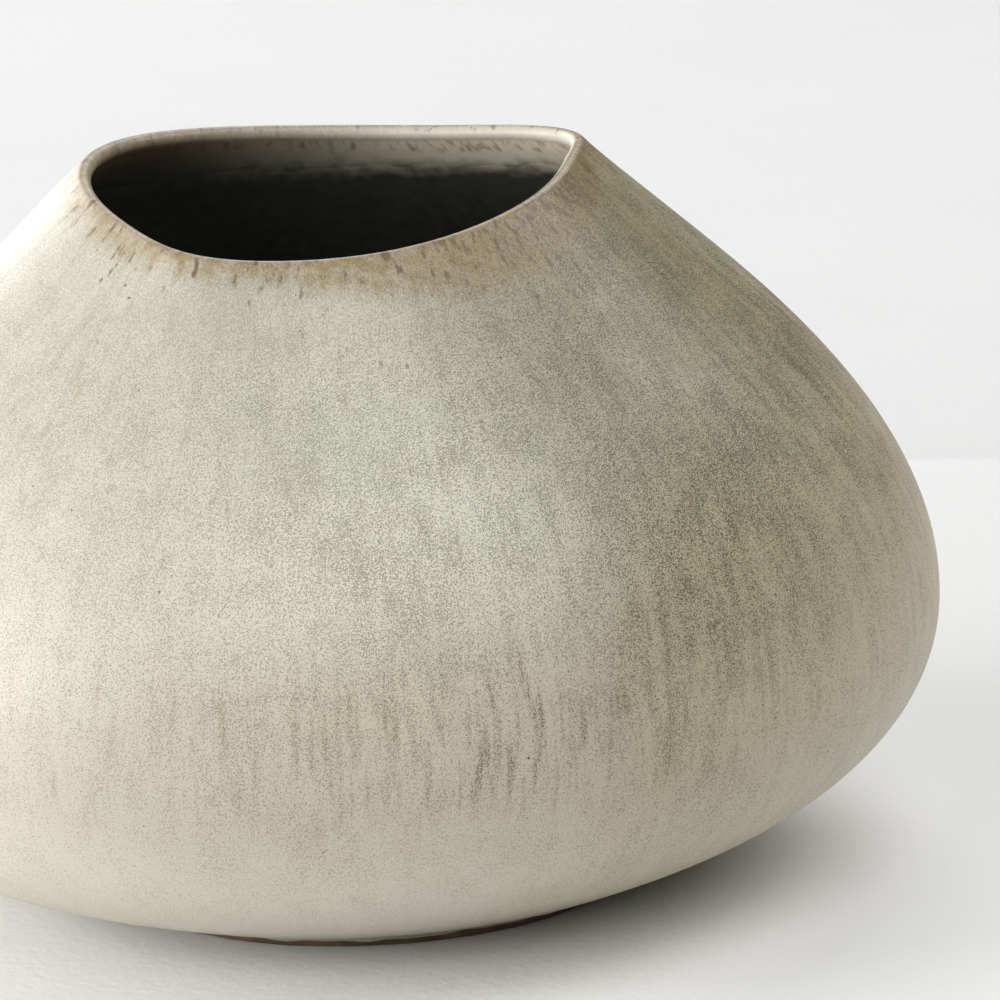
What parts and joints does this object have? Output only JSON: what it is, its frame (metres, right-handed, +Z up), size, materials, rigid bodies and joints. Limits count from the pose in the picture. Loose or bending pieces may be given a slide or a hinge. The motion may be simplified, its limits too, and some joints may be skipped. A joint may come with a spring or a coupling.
{
  "type": "pillow vase",
  "caption": "Low oval stoneware vase with a swelling body, sloping shoulder, wide mouth pinched into a spout, mottled glaze and a bare foot ring.",
  "frame": {"origin": "on the standing surface, below the middle of the belly", "axes": "+Z up; +X along the long axis of the oval body, towards the pinched spout of the mouth"},
  "size_m": [0.262, 0.202, 0.1554],
  "materials": {
    "stoneware": "fired clay, hidden under the glaze except under the foot",
    "bare_clay": "bare fired clay, dry and slightly gritty",
    "outer_glaze": "satin reactive glaze, finely mottled grey-green on the shoulder, beige below, brown where it breaks over the rim",
    "liner_glaze": "dark satin liner glaze"
  },
  "bodies": {
    "root": {"stoneware_body": "stoneware", "foot_ring": "bare_clay", "outer_glaze": "outer_glaze", "liner_glaze": "liner_glaze"}
  },
  "joints": []
}
